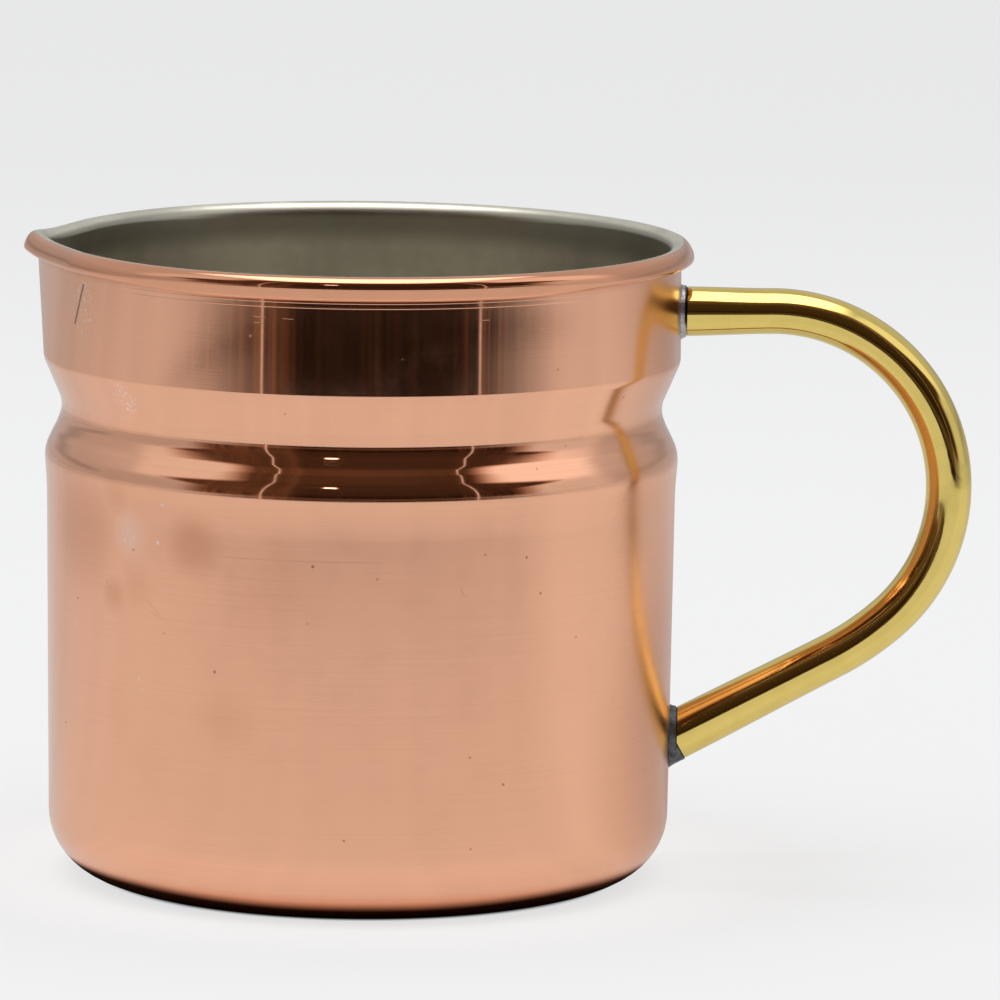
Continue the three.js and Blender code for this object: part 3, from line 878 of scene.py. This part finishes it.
def copper_marks(here):
    """All masks of the copper by name."""
    in_mm, height = here.in_mm, here.height
    specks = spots(in_mm, [(on_wall(*place), *pale_speck_reach) for place in pale_specks])
    glow = times(spot(in_mm, *pale_glow), pale_glow_strength)
    brush_line, *tool_lines = [
        line_round(height, level, line_half_width) for level in (brush_line_height, *tool_line_heights)
    ]
    off_front = soft_end(here.north, -0.82, -0.62)
    return SimpleNamespace(
        pits=pit_mask(in_mm),
        dots=spots(in_mm, [(on_wall(*place), *dark_dot_reach) for place in dark_dots]),
        fingers=finger_mask(in_mm),
        breath=spot(in_mm, *breath_mark),
        pale=largest([fleck_mask(in_mm), specks, glow]),
        browned_by_joints=spots(in_mm, joint_browning_spots),
        dull=spots(in_mm, dull_patches),
        # the crease, used for its sunk relief and for its painted shade
        crease=stroke(in_mm, *spout_crease, spout_crease_width),
        scratches=largest([
            scratch_mask(in_mm, band_scratches, band_scratch_radius, band_scratch_width),
            scratch_mask(in_mm, wall_scratches, body_radius, wall_scratch_width),
        ]),
        brush_line=times(brush_line, window(here.east, -0.45, 0.05, 0.06)),
        tool_lines=times(largest(tool_lines), off_front),
        # painted shade under the bead
        bead_painted_shade=soft_step(height, bead_shade_from, bead_shade_to),
    )


# %% [markdown]
# ## Copper
#
# Three things are made from the marks and a few kinds of noise. The colour goes from fresh copper
# to brown where the metal is stained and about the joints, and to a pale tone at the flecks.
# Painted shade makes it browner under the bead and dark along the spout's crease. The roughness is
# low on the band and on the foot's rounding, which shine most, and higher on the wall between them.
# The turning lines are about a thousandth of a millimetre deep, which is enough to bend reflections.

# %% Copper finish
copper_fresh = (0.93, 0.49, 0.318, 1)
copper_brown = (0.66, 0.30, 0.17, 1)
copper_pale = (0.96, 0.84, 0.77, 1)
# Painted shade along the spout's crease
crease_shade_colour = (0.22, 0.10, 0.06, 1)
wall_roughness = 0.15
band_roughness = 0.045
foot_roughness_share = 0.3
polish_change_from, polish_change_to = 56.5, 60.0
foot_polish_from, foot_polish_to = 1.5, 6.0
copper_relief_depth = 1.0e-6


def copper_tone(here, lines, marks):
    """The colour: brown by the strongest of the stains, the browning about the joints and the painted shade
    under the bead, with a little more on the turning lines, and dark along the crease by painted shade.
    """
    cloud = noise(here.in_mm, 0.06, detail=3.0)
    brown = weighed(
        (soft_step(cloud, 0.55, 0.8), 0.10), (marks.pits, 1.0), (marks.fingers, 1.0),
        (marks.dots, 0.8), (marks.browned_by_joints, 0.80), (marks.scratches, 0.45), (marks.brush_line, 0.3),
        # the painted shade under the bead browns the colour here
        (marks.bead_painted_shade, 0.6),
    )
    on_lines = times(soft_step(lines, 0.45, 0.70), 0.09)
    colour = mixed(plus(on_lines, brown), copper_fresh, copper_brown)
    colour = mixed(times(marks.pale, 0.9), colour, copper_pale)
    # Painted shade: the crease of the spout is painted dark
    return mixed(times(marks.crease, 0.85), colour, crease_shade_colour)


def copper_roughness(here, lines, marks):
    """The polish of the region, plus haze, plus wear at the marks and on the handle's side."""
    polish = soft_step(here.height, polish_change_from, polish_change_to, wall_roughness, band_roughness)
    at_foot = soft_step(here.height, foot_polish_from, foot_polish_to, foot_roughness_share, 1.0)
    haze = soft_step(noise(here.in_mm, 0.16, detail=4.0, roughness=0.6), 0.4, 0.8)
    worn = weighed(
        (marks.pits, 1.0), (marks.scratches, 0.6), (marks.pale, 1.0), (marks.breath, 0.25),
        (marks.dull, 0.75), (soft_step(here.east, 0.66, 0.82), 0.42),
    )
    return plus(times(polish, at_foot), times(haze, 0.03), times(lines, 0.015), times(worn, 0.3))


def copper_relief(here, lines, marks):
    """Turning lines, grain and tool lines stand up; pits, scratches and the crease lie deeper."""
    grain = noise(here.in_mm, 2.2, detail=3.0, roughness=0.6)
    raised = plus(lines, times(grain, 0.25), times(marks.tool_lines, 6.0))
    sunk = times(largest([marks.pits, marks.scratches]), 3.0)
    return less(less(raised, sunk), times(marks.crease, 60.0))


def copper_finish():
    """Polished copper. Its polish is smeared at right angles to the turning lines."""
    material = start_wiring(bpy.data.materials.new("polished_copper"))
    here = turned_place()
    lines = turning_lines(here, 1.2, 5.0, 0.65)
    marks = copper_marks(here)
    tangent = add("Tangent", direction_type="RADIAL", axis="Z")
    coated(
        copper_tone(here, lines, marks), copper_roughness(here, lines, marks),
        copper_relief(here, lines, marks), copper_relief_depth,
        **{"Anisotropic": 0.6, "Anisotropic Rotation": 0.25, "Tangent": tangent},
    )
    return material


dress([copper_cup], copper_finish())

# %% [markdown]
# ## The grey lining
#
# The inside is a duller, greyer metal. It was never polished, so it is satin all over, with
# turning marks that can just be made out and a cloudy tone. As in the photo, it is darkest in a
# ring under the rim, which is painted shade, and a little paler on a stretch at the left and on one
# at the right, which is painted light.

# %% Lining finish
lining_dark = (0.30, 0.284, 0.236, 1)
lining_pale = (0.80, 0.77, 0.66, 1)
lining_relief_depth = 5.0e-6


def lining_finish():
    """Satin grey metal. Its tone is the cloud's times the painted light on the sides times the painted shade
    of the ring under the rim.
    """
    material = start_wiring(bpy.data.materials.new("grey_lining_metal"))
    here = turned_place()
    lines = turning_lines(here, 2.0, 3.0, 0.7)
    cloud = noise(here.in_mm, 0.12, detail=4.0, roughness=0.6)
    grain = noise(here.in_mm, 3.0, detail=2.0)
    # Painted light: paler stretches at the left and at the right
    painted_light_left = times(window(here.east, -0.62, -0.20, 0.12), 0.26)
    painted_light_right = times(window(here.east, 0.38, 0.56, 0.06), 0.16)
    # Painted shade: a darker ring under the rim
    painted_shade_below_rim = times(soft_step(here.height, 83.0, 86.5), soft_end(here.height, 88.9, 89.4), -0.74)
    cloudy = soft_step(cloud, 0.3, 0.7, 0.62, 0.86)
    tone = times(cloudy, plus(painted_light_left, painted_light_right, 1.0), plus(painted_shade_below_rim, 1.0))
    colour = mixed(tone, lining_dark, lining_pale)
    rough = soft_step(grain, 0.2, 0.8, 0.30, 0.42)
    relief = plus(lines, times(grain, 0.6))
    coated(colour, rough, relief, lining_relief_depth)
    return material


dress([grey_lining], lining_finish())

# %% [markdown]
# ## Brass and solder
#
# The tube is bright polished brass with only a breath of haze and the faintest ripples along it,
# a little stronger near its foot, where the polishing wheel chattered. The solder is a dull lead
# grey that was dressed with a file where it meets the tube. Its colour is painted darker at the
# lower joint, as shade, and brighter at the upper one, as light, and a black painted shadow lies
# in the crevice along the tube at the upper joint.

# %% Brass finish
brass_bright = (0.82, 0.632, 0.19, 1)
brass_hazy = (0.78, 0.595, 0.172, 1)
brass_relief_depth = 6.0e-6
chatter_patch = ((50.0, -3.2, 18.5), 2.0, 8.0)


def brass_finish():
    """Polished brass. Its relief is a slow ripple, plus chatter marks near the foot."""
    material = start_wiring(bpy.data.materials.new("polished_brass"))
    in_mm = turned_place().in_mm
    haze = noise(in_mm, 0.35, detail=4.0, roughness=0.6)
    ripple = noise(in_mm, 0.5, detail=1.0)
    chatter = noise(in_mm, 3.0, detail=3.0, roughness=0.7)
    relief = plus(ripple, times(chatter, spot(in_mm, *chatter_patch), 0.4))
    colour = mixed(soft_step(haze, 0.35, 0.75), brass_bright, brass_hazy)
    rough = soft_step(haze, 0.3, 0.75, 0.05, 0.10)
    coated(colour, rough, relief, brass_relief_depth)
    return material


dress([brass_handle], brass_finish())

# %% Solder finish
# One solder in two sets of tones: painted shade at the lower joint, painted light at the upper one
shaded_lower_solder_tones = ((0.06, 0.066, 0.073, 1), (0.15, 0.16, 0.17, 1))
lit_upper_solder_tones = ((0.34, 0.35, 0.37, 1), (0.55, 0.56, 0.58, 1))
# Painted shadow in the crevice along the tube
crevice_shadow_black = (0.012, 0.012, 0.012, 1)
solder_relief_depth = 6.0e-5


def solder_finish():
    """Dull solder, blotched between two tones below, painted dark as shade, and between two brighter ones
    above, painted light, with a black painted shadow in the upper crevice.
    """
    material = start_wiring(bpy.data.materials.new("dull_solder"))
    here = turned_place()
    blotch = noise(here.in_mm, 1.1, detail=4.0, roughness=0.65)
    grain = noise(here.in_mm, 5.0, detail=3.0)
    in_upper = soft_step(here.height, 40.0, 60.0)
    blotched = soft_step(blotch, 0.3, 0.7)
    # Painted shadow: the upper joint's crevice along the tube is painted black
    crevice_shadow = times(soft_step(here.radius, 44.96, 45.06), soft_step(here.height, 77.6, 79.0))
    lit_upper_tone = mixed(crevice_shadow, mixed(blotched, *lit_upper_solder_tones), crevice_shadow_black)
    colour = mixed(in_upper, mixed(blotched, *shaded_lower_solder_tones), lit_upper_tone)
    rough = less(soft_step(blotch, 0.3, 0.7, 0.5, 0.38), times(in_upper, 0.18))
    relief = plus(blotch, times(grain, 0.4))
    coated(colour, rough, relief, solder_relief_depth, metallic=0.85)
    return material


dress([upper_joint, lower_joint], solder_finish())

# %% [markdown]
# ## Each piece stands for its CAD node
#
# All the fine pieces ride on the one body of the pot and replace the node of the same form.

# %% Tie the pieces to the frame
for piece, node, slot in (
    (copper_cup, "pot_body", "copper"),
    (grey_lining, "inner_lining", "lining"),
    (brass_handle, "handle", "handle_brass"),
    (upper_joint, "upper_solder_joint", "solder"),
    (lower_joint, "lower_solder_joint", "solder"),
):
    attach(piece, "root")
    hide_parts(node)
    print(piece.name, "stands for", node)

# %% [markdown]
# ## The floor
#
# Polished metal shows what stands round it, so the table matters as much as the metal. The pot
# stands on a white sheet. Towards the photographer the sheet ends about half a metre away, and
# the band of the pot, whose reflections reach further than the wall's, shows the dark room beyond
# that edge. More than half of what the camera and the reflections see of the sheet is its own
# even white, and the rest is lit by the lamps and keeps the pot's shadow. Under the foot's
# rounding a painted shadow darkens the sheet where the gap lies. Beside it the camera sees the
# sheet a little brighter by painted light, and reflections see it tinted by painted copper light.

# %% How reflections see the white sheet, by distance in metres and bearing in degrees
sheet_edge = 0.475
sheet_edge_softness = 0.02
opening_left_deg = 49.0
opening_right_deg = 56.5
wider_left_deg = 17.0
wider_right_deg = 13.0
far_sheet = (0.8, 3.0)


def sheet_level(distance, bearing):
    """How bright the sheet is: brightest just before the foot, falling with the distance and a
    little brighter again far off and to the handle's side, darker behind, and slightly uneven."""
    off_front = sums("ABSOLUTE", bearing)
    before_foot = times(soft_end(distance, 0.045, 0.118), soft_end(off_front, 60.0, 110.0), 0.24)
    outward = staircase(distance, 0.66, (0.22, 0.40, -0.05), (0.40, 0.60, -0.18), (*far_sheet, 0.07))
    beside = times(window(bearing, 66.0, 105.0, 10.0), 0.12)
    behind = times(soft_step(off_front, 100.0, 140.0), soft_end(distance, *far_sheet), -0.18)
    uneven = noise(add("CombineXYZ", {0: bearing}), 0.12, detail=3.0)
    return plus(before_foot, outward, beside, behind, soft_step(uneven, 0.3, 0.7, -0.03, 0.03))


def open_share(distance, bearing):
    """1 where the room is seen past the sheet's edge: beyond its distance, and inside an opening
    to the front that is wider on a short stretch."""
    past = soft_step(distance, sheet_edge, sheet_edge + sheet_edge_softness)
    wider = times(soft_step(distance, 0.665, 0.705), soft_end(distance, 0.705, 0.785))
    left = plus(bearing, times(wider, wider_left_deg), opening_left_deg)
    right = less(plus(times(wider, wider_right_deg), opening_right_deg), bearing)
    inside = times(soft_step(left, -26.0, 24.0), soft_step(right, -23.0, 23.0))
    return times(past, inside, soft_step(distance, 0.72, 0.80, 1.0, 0.98))


def beside_gap_shadow(distance, bearing, glossy):
    """0 in the painted shadow of the gap under the foot and 1 beside it. Reflections see that painted
    shadow end further out than the camera does, and further still towards both sides."""
    gap_shadow_seen = soft_step(distance, 0.0350, 0.0372)
    to_side = soft_step(sums("ABSOLUTE", bearing), 10.0, 60.0, 0.0, 0.0012)
    gap_shadow_mirrored = soft_step(less(distance, to_side), 0.0388, 0.0419)
    return between(glossy, gap_shadow_seen, gap_shadow_mirrored)


print("The sheet ends", sheet_edge, "m from the pot's axis")

# %% Floor finish
sheet_white = (0.90, 0.903, 0.91, 1)
# Painted shadow: the sheet's colour in the gap under the foot's rounding
gap_shadow_colour = (0.10, 0.06, 0.04, 1)
# Painted light: the copper's warm bounce light on the sheet next to the foot
copper_bounce_tint = (1.0, 0.62, 0.44, 1)
sheet_tint = (0.995, 0.998, 1, 1)
sheet_share_camera = 0.72
sheet_share_glossy = 0.55
near_white = 0.90
far_white = 0.80
# Painted light: how much brighter the camera sees the sheet beside the foot
painted_lift_by_foot = 0.10


def floor_finish():
    """The sheet is lit white mixed with its own even white, and is clear where it is open."""
    material = start_wiring(bpy.data.materials.new("white_sheet"))
    place = add("TexCoord", output=3)
    x, y, _ = add("SeparateXYZ", {0: place}, output="all")
    distance = length_of(x, y)
    bearing = bearing_of(x, y)
    camera = add("LightPath", output=0)
    glossy = add("LightPath", output=3)
    # Painted shadow of the gap under the foot, in the colour and in the level
    beside_shadow = beside_gap_shadow(distance, bearing, glossy)
    white = mixed(beside_shadow, gap_shadow_colour, sheet_white)
    lit = add("BsdfDiffuse", {"Color": white})
    seen_white = soft_step(y, 0.2, 1.0, near_white, far_white)
    # Painted light beside the foot that lifts the sheet over the pot's shadow
    painted_foot_light = times(camera, soft_end(distance, 0.040, 0.065), painted_lift_by_foot)
    level = between(glossy, seen_white, sheet_level(distance, bearing))
    level = times(level, beside_shadow, plus(painted_foot_light, 1.0))
    # Painted bounce light from the copper, seen by reflections near the foot
    copper_bounce_share = times(glossy, soft_end(distance, 0.0395, 0.0450))
    tint = mixed(copper_bounce_share, sheet_tint, copper_bounce_tint)
    own = add("Emission", {"Color": tint, "Strength": level})
    far_share = soft_step(distance, *far_sheet, sheet_share_glossy, 1.0)
    seen = sums("MAXIMUM", camera, glossy)
    own_share = times(seen, between(glossy, sheet_share_camera, far_share))
    sheet = add("MixShader", {0: own_share, 1: lit, 2: own})
    clear = add("BsdfTransparent")
    opened = times(open_share(distance, bearing), glossy)
    both = add("MixShader", {0: opened, 1: sheet, 2: clear})
    add("OutputMaterial", {0: both}, output="all")
    return material


# %% Lay the sheet
floor_half = 6.0
floor_drop = 5e-5
floor_corners = [
    (floor_half * x, floor_half * y, -floor_drop) for x, y in ((-1, -1), (1, -1), (1, 1), (-1, 1))
]
floor_mesh = bpy.data.meshes.new("floor")
floor_mesh.from_pydata(floor_corners, [], [(0, 1, 2, 3)])
floor = bpy.data.objects.new("floor", floor_mesh)
bpy.context.scene.collection.objects.link(floor)
dress([floor], floor_finish())

# %% [markdown]
# ## The studio round the pot
#
# The room is the world's background, drawn by bearing and elevation round the pot. For the camera
# and for soft light it is an even pale grey. For reflections it has what a small product studio
# has: bright panels left and right, a soft box overhead, the dark end of the room where the
# photographer stands, two thin bright gaps beside the dark, and one small lamp. Low down are a
# strip of light at the far end of the table, a haze above it, and a darker edge behind the pot.

# %% The dark end of the room
room_dark = (1.0, 0.56, 0.33, 1)
room_white = (1, 1, 1, 1)
cube_lift = 0.12
table_end_lift = 0.08
haze_lift = 0.028
pale_streak_lift = 0.035


def dark_end(bearing, elevation):
    """How much of the dark end is seen. Half its width is 90 degrees at the table's end, 64 above
    it, nearly 79 where the panels begin and 53 higher up. It ends at an elevation of about 56
    degrees, where the ceiling begins."""
    half_width = staircase(elevation, 90.0, (-6.0, 0.0, -26.0), (16.0, 23.0, 15.0), (22.0, 38.0, -26.0))
    beyond = less(sums("ABSOLUTE", bearing), half_width)
    return times(soft_end(beyond, -8.0, 8.0), soft_end(elevation, 53.0, 60.0))


def upright_streaks(bearing, elevation):
    """Streaks that are stronger to both sides and low down: noise that changes fast with the
    bearing and slowly with the elevation."""
    streak_place = add("CombineXYZ", {0: bearing, 1: times(elevation, 0.05)})
    streaks = noise(streak_place, 0.30, detail=5.0, roughness=0.75)
    to_sides = less(1.0, window(bearing, -30.0, 40.0, 12.0))
    strength = plus(times(to_sides, 0.20), 0.03)
    low_down = soft_step(elevation, 3.0, 12.0, 1.0, 0.25)
    return times(soft_step(streaks, 0.42, 0.75), strength, low_down)


def dark_end_level(bearing, elevation):
    """Its brightness: nearly black, rising with the cube of the elevation, a little lighter on the
    left, at the table's end and in the haze above it, with streaks and one paler streak."""
    up = sums("MULTIPLY", less(elevation, 10.0), 1 / 40, clamp=True)
    left = soft_step(bearing, -36.0, -20.0, 0.06, 0.008)
    return plus(
        soft_step(elevation, -6.0, 4.0, 0.003, 0.010),
        times(sums("POWER", up, 3.0), cube_lift),
        times(left, soft_step(elevation, 15.0, 35.0, 1.0, 0.4)),
        times(window(elevation, -4.5, 1.0, 1.5), table_end_lift),
        times(window(elevation, 9.0, 34.0, 5.0), haze_lift),
        upright_streaks(bearing, elevation),
        times(window(bearing, -29.5, -26.0, 1.2), pale_streak_lift),
    )


print("The dark end's red, green and blue:", room_dark[:3])

# %% The bright things in the room. A window is written as its two ends and its softness.
left_panel_windows = ((-97.0, -48.0, 6.0), (21.0, 58.0, 4.5))
left_panel_level = 0.20
right_panel_window = (48.0, 102.0, 6.0)
right_panel_level = 0.44
left_gap_window = (-36.75, -36.05, 0.3)
right_gap_window = (42.35, 43.05, 0.3)
gap_level = 0.70
lamp_windows = ((-14.5, -9.5, 0.6), (29.5, 32.0, 0.5))
lamp_level = 5.0
soft_box_windows = ((-0.48, 0.48, 0.12), (-0.61, 0.42, 0.06))
soft_box_level = 2.05


def patch(bearing, elevation, bearings, elevations):
    """1 inside a window of bearings and a window of elevations."""
    return times(window(bearing, *bearings), window(elevation, *elevations))


def soft_box_share(x, y, z):
    """How much of the soft box overhead is seen. It is flat, so it is drawn by where a direction
    meets a level plane: the direction's two level parts over its rise."""
    rise = sums("MAXIMUM", z, 0.05)
    across = sums("DIVIDE", x, rise)
    along = sums("DIVIDE", y, rise)
    return times(patch(across, along, *soft_box_windows), soft_step(z, 0.1, 0.2))


def bright_room(bearing, elevation, soft_box):
    """The brightness outside the dark end: walls and ceiling, both panels and the soft box, less
    the darker table edge behind the pot."""
    left_panel = times(patch(bearing, elevation, *left_panel_windows), left_panel_level)
    right_panel = times(
        window(bearing, *right_panel_window), soft_step(elevation, 18.0, 28.0, 0.45, 1.0),
        soft_end(elevation, 54.0, 62.0), right_panel_level,
    )
    behind = soft_step(sums("ABSOLUTE", bearing), 104.0, 120.0)
    table_edge = times(window(elevation, 4.0, 9.0, 3.0), behind, -0.15)
    walls = soft_step(elevation, 12.0, 28.0, 0.50, 0.62)
    return plus(left_panel, right_panel, walls, table_edge, times(soft_box, soft_box_level))


print("Left and right panel add", left_panel_level, "and", right_panel_level)

# %% World
world_soft_level = 0.30
world_camera_level = 0.86


def studio_world():
    """An even grey, and for reflections the bright room mixed with the dark end of it."""
    world = start_wiring(bpy.data.worlds.new("studio"))
    direction = add("TexCoord")
    x, y, z = add("SeparateXYZ", {0: direction}, output="all")
    bearing = bearing_of(x, y)
    elevation = sums("DEGREES", sums("ARCSINE", z))
    camera = add("LightPath", output=0)
    glossy = add("LightPath", output=3)
    front = dark_end(bearing, elevation)
    gaps = largest([window(bearing, *ends) for ends in (left_gap_window, right_gap_window)])
    lamp = patch(bearing, elevation, *lamp_windows)
    dark = plus(dark_end_level(bearing, elevation), times(lamp, lamp_level), times(gaps, gap_level))
    bright = bright_room(bearing, elevation, soft_box_share(x, y, z))
    plain = between(camera, world_soft_level, world_camera_level)
    strength = between(glossy, plain, between(front, bright, dark))
    tinted = times(front, less(1.0, largest([gaps, lamp])), glossy)
    colour = mixed(tinted, room_white, room_dark)
    background = add("Background", {"Color": colour, "Strength": strength})
    add("OutputWorld", {0: background}, output="all")
    world.cycles.sampling_method = "NONE"
    return world


bpy.context.scene.world = studio_world()
print("The world has", len(bpy.context.scene.world.node_tree.nodes), "nodes")

# %% [markdown]
# ## Lamps
#
# The soft light comes from straight above, from a very large and distant panel, so that it is
# even over the whole sheet and leaves only a short, pale shadow round the foot. A weak lamp from
# the left gives the shadow its slight direction.

# %% Two soft lamps
pot_middle = Vector((0, 0, 0.04))


def soft_box(name, place, size, power):
    """A square lamp that faces the pot. Reflections don't see it, because the world draws them."""
    data = bpy.data.lights.new(name, "AREA")
    data.shape = "SQUARE"
    data.size = size
    data.energy = power
    lamp = bpy.data.objects.new(name, data)
    lamp.location = place
    lamp.rotation_mode = "QUATERNION"
    lamp.rotation_quaternion = (pot_middle - Vector(place)).to_track_quat("-Z", "Y")
    lamp.visible_glossy = False
    lamp.visible_camera = False
    bpy.context.scene.collection.objects.link(lamp)
    print(name, "is", size, "m wide and", round((pot_middle - Vector(place)).length, 2), "m away")


soft_box("overhead_box", place=(0.0, 0.0, 5.0), size=6.0, power=232.0)
soft_box("left_box", place=(-1.6, -0.4, 1.4), size=0.9, power=3.0)

# %% [markdown]
# ## The camera
#
# The camera stands 1.2 metres in front of the pot, a little above it, with a long lens. Its place
# and angles were fitted to the outline of the pot in the photograph.

# %% Camera
camera_place = (0.0, -1.2, 0.2332)
camera_yaw_deg = 0.930
camera_pitch_deg = 8.543
camera_roll_deg = 0.681
camera_lens = 311.5
camera_sensor_width = 36
camera_sees_from = 0.01
camera_sees_to = 50


def camera_axes():
    """The camera's right, up and forward. Forward follows from yaw and pitch, and the other two
    are level right and its cross product with forward, turned by the roll."""
    yaw, pitch, roll = np.radians([camera_yaw_deg, camera_pitch_deg, camera_roll_deg])
    forward = np.array([np.sin(yaw) * np.cos(pitch), np.cos(yaw) * np.cos(pitch), -np.sin(pitch)])
    level_right = np.array([np.cos(yaw), -np.sin(yaw), 0])
    level_up = np.cross(level_right, forward)
    right = np.cos(roll) * level_right + np.sin(roll) * level_up
    up = -np.sin(roll) * level_right + np.cos(roll) * level_up
    return right, up, forward


def set_camera():
    """Puts the camera at its place. Its turn is the matrix of its right, up and backward axes."""
    right, up, forward = camera_axes()
    turned = np.eye(4)
    turned[:3, :3] = np.stack([right, up, -forward], axis=1)
    turned[:3, 3] = camera_place
    data = bpy.data.cameras.new("camera")
    data.sensor_width = camera_sensor_width
    data.lens = camera_lens
    data.clip_start = camera_sees_from
    data.clip_end = camera_sees_to
    camera = bpy.data.objects.new("camera", data)
    camera.matrix_world = Matrix(turned.tolist())
    bpy.context.scene.collection.objects.link(camera)
    bpy.context.scene.camera = camera
    print("The camera looks along", forward.round(3))


set_camera()
bpy.context.scene.view_settings.view_transform = "Standard"
